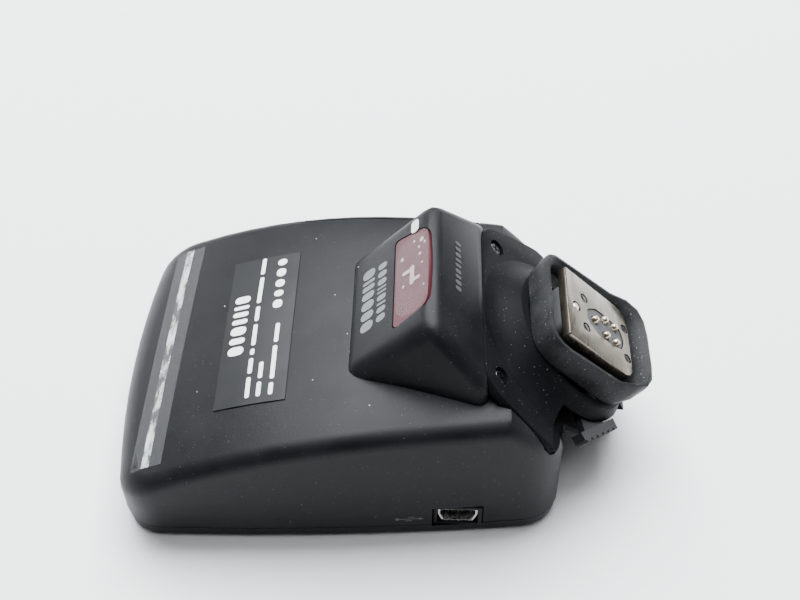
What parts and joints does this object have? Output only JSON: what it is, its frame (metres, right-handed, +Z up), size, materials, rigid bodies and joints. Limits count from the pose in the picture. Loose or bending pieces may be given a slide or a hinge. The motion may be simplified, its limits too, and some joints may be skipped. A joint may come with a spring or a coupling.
{
  "type": "wireless flash trigger",
  "caption": "Hot-shoe radio flash trigger with a sloped locking foot, red focus-assist window, battery door, side USB port, screen, keys and dial.",
  "frame": {"origin": "centre of the overall box, at the bottom: the plane of the display rim that it lies on", "axes": "+X along the housing towards the foot end, +Y towards the battery door side, +Z up through the label face; the shoe foot points out along +X and +Z, 44 degrees from vertical"},
  "size_m": [0.1066, 0.069, 0.0453],
  "materials": {
    "board_green": "solder mask",
    "led_clear": "clear lens",
    "window_red": "dark red infrared-pass plastic, glossy under a protective film",
    "contact_brass": "gold plated",
    "nickel": "bright nickel",
    "screw_steel": "black oxide",
    "cell_wrap": "printed sleeve on a metal can",
    "housing_plastic": "fine moulded texture, near black",
    "inner_plastic": "plain dark moulding",
    "key_rubber": "matt silicone keys",
    "lens_clear": "smoked clear display lens",
    "label_film": "satin printed film",
    "boot_rubber": "soft black rubber, slightly satin",
    "foot_metal": "warm satin plating"
  },
  "bodies": {
    "housing": {"af_board": "board_green", "af_emitter_1": "led_clear", "af_emitter_2": "led_clear", "af_window": "window_red", "antenna": "contact_brass", "back_contact_1": "nickel", "back_contact_2": "nickel", "back_spring": "nickel", "base_screw_1": "screw_steel", "base_screw_2": "screw_steel", "battery_cell_1": "cell_wrap", "battery_cell_2": "cell_wrap", "battery_tray": "inner_plastic", "contact_insulator": "inner_plastic", "display_shell": "housing_plastic", "door_hinge_pin_1": "nickel", "door_hinge_pin_2": "nickel", "foot_base": "housing_plastic", "foot_stem": "inner_plastic", "lcd_lens": "lens_clear", "lcd_module": "inner_plastic", "main_board": "board_green", "main_shell": "housing_plastic", "radio_shield": "nickel", "rating_label": "label_film", "rubber_boot": "boot_rubber", "shoe_plate": "foot_metal", "shoe_screw_1": "screw_steel", "shoe_screw_2": "screw_steel", "shoe_screw_3": "screw_steel", "shoe_screw_4": "screw_steel", "status_led": "led_clear", "switch_body": "inner_plastic", "usb_bezel": "housing_plastic", "usb_connector": "nickel", "usb_tongue": "inner_plastic"},
    "battery_door": {"battery_door": "housing_plastic", "door_contact": "nickel"},
    "lock_lever": {"lock_lever": "housing_plastic"},
    "locking_pin": {"locking_pin": "nickel"},
    "contact_pin_1": {"contact_pin_1": "contact_brass"},
    "contact_pin_2": {"contact_pin_2": "contact_brass"},
    "contact_pin_3": {"contact_pin_3": "contact_brass"},
    "contact_pin_4": {"contact_pin_4": "contact_brass"},
    "contact_pin_5": {"contact_pin_5": "contact_brass"},
    "group_key_a": {"group_key_a": "key_rubber"},
    "group_key_b": {"group_key_b": "key_rubber"},
    "group_key_c": {"group_key_c": "key_rubber"},
    "group_key_d": {"group_key_d": "key_rubber"},
    "group_key_e": {"group_key_e": "key_rubber"},
    "menu_key": {"menu_key": "key_rubber"},
    "mode_key": {"mode_key": "key_rubber"},
    "test_button": {"test_button": "key_rubber"},
    "set_button": {"set_button": "key_rubber"},
    "select_dial": {"select_dial": "key_rubber"},
    "power_switch": {"power_switch": "key_rubber"}
  },
  "joints": [
    {"name": "battery_door_hinge", "type": "hinge", "parent": "housing", "child": "battery_door", "pos_m": [-0.00019, 0.03038, 0.0058], "axis": [-0.9978, 0.0663, 0], "range_deg": [0, 95]},
    {"name": "lock_lever_turn", "type": "hinge", "parent": "housing", "child": "lock_lever", "pos_m": [0.03538, 0, 0.02224], "axis": [0.6947, 0, 0.7193], "range_deg": [0, 35]},
    {"name": "locking_pin_slide", "type": "slide", "parent": "housing", "child": "locking_pin", "axis": [0.6947, 0, 0.7193], "range_m": [0, 0.0014]},
    {"name": "contact_pin_1_press", "type": "slide", "parent": "housing", "child": "contact_pin_1", "axis": [-0.6947, 0, -0.7193], "range_m": [0, 0.0008], "stiffness_N_per_m": 150, "springref_m": -0.0004},
    {"name": "contact_pin_2_press", "type": "slide", "parent": "housing", "child": "contact_pin_2", "axis": [-0.6947, 0, -0.7193], "range_m": [0, 0.0008], "stiffness_N_per_m": 150, "springref_m": -0.0004},
    {"name": "contact_pin_3_press", "type": "slide", "parent": "housing", "child": "contact_pin_3", "axis": [-0.6947, 0, -0.7193], "range_m": [0, 0.0008], "stiffness_N_per_m": 150, "springref_m": -0.0004},
    {"name": "contact_pin_4_press", "type": "slide", "parent": "housing", "child": "contact_pin_4", "axis": [-0.6947, 0, -0.7193], "range_m": [0, 0.0008], "stiffness_N_per_m": 150, "springref_m": -0.0004},
    {"name": "contact_pin_5_press", "type": "slide", "parent": "housing", "child": "contact_pin_5", "axis": [-0.6947, 0, -0.7193], "range_m": [0, 0.0008], "stiffness_N_per_m": 150, "springref_m": -0.0004},
    {"name": "group_key_a_press", "type": "slide", "parent": "housing", "child": "group_key_a", "axis": [0, 0, 1], "range_m": [0, 0.0005], "stiffness_N_per_m": 300, "springref_m": -0.0004},
    {"name": "group_key_b_press", "type": "slide", "parent": "housing", "child": "group_key_b", "axis": [0, 0, 1], "range_m": [0, 0.0005], "stiffness_N_per_m": 300, "springref_m": -0.0004},
    {"name": "group_key_c_press", "type": "slide", "parent": "housing", "child": "group_key_c", "axis": [0, 0, 1], "range_m": [0, 0.0005], "stiffness_N_per_m": 300, "springref_m": -0.0004},
    {"name": "group_key_d_press", "type": "slide", "parent": "housing", "child": "group_key_d", "axis": [0, 0, 1], "range_m": [0, 0.0005], "stiffness_N_per_m": 300, "springref_m": -0.0004},
    {"name": "group_key_e_press", "type": "slide", "parent": "housing", "child": "group_key_e", "axis": [0, 0, 1], "range_m": [0, 0.0005], "stiffness_N_per_m": 300, "springref_m": -0.0004},
    {"name": "menu_key_press", "type": "slide", "parent": "housing", "child": "menu_key", "axis": [0, 0, 1], "range_m": [0, 0.0005], "stiffness_N_per_m": 300, "springref_m": -0.0004},
    {"name": "mode_key_press", "type": "slide", "parent": "housing", "child": "mode_key", "axis": [0, 0, 1], "range_m": [0, 0.0005], "stiffness_N_per_m": 300, "springref_m": -0.0004},
    {"name": "test_button_press", "type": "slide", "parent": "housing", "child": "test_button", "axis": [0, 0, 1], "range_m": [0, 0.0005], "stiffness_N_per_m": 300, "springref_m": -0.0004},
    {"name": "set_button_press", "type": "slide", "parent": "housing", "child": "set_button", "axis": [0, 0, 1], "range_m": [0, 0.0005], "stiffness_N_per_m": 300, "springref_m": -0.0004},
    {"name": "select_dial_turn", "type": "hinge", "parent": "housing", "child": "select_dial", "pos_m": [0.01321, 0, 0.0013], "axis": [0, 0, 1], "continuous": true},
    {"name": "power_switch_slide", "type": "slide", "parent": "housing", "child": "power_switch", "axis": [1, 0, 0], "range_m": [0, 0.0036]}
  ],
  "couplings": [
    {"joint": "locking_pin_slide", "follows": "lock_lever_turn", "m_per_rad": 0.00229}
  ]
}
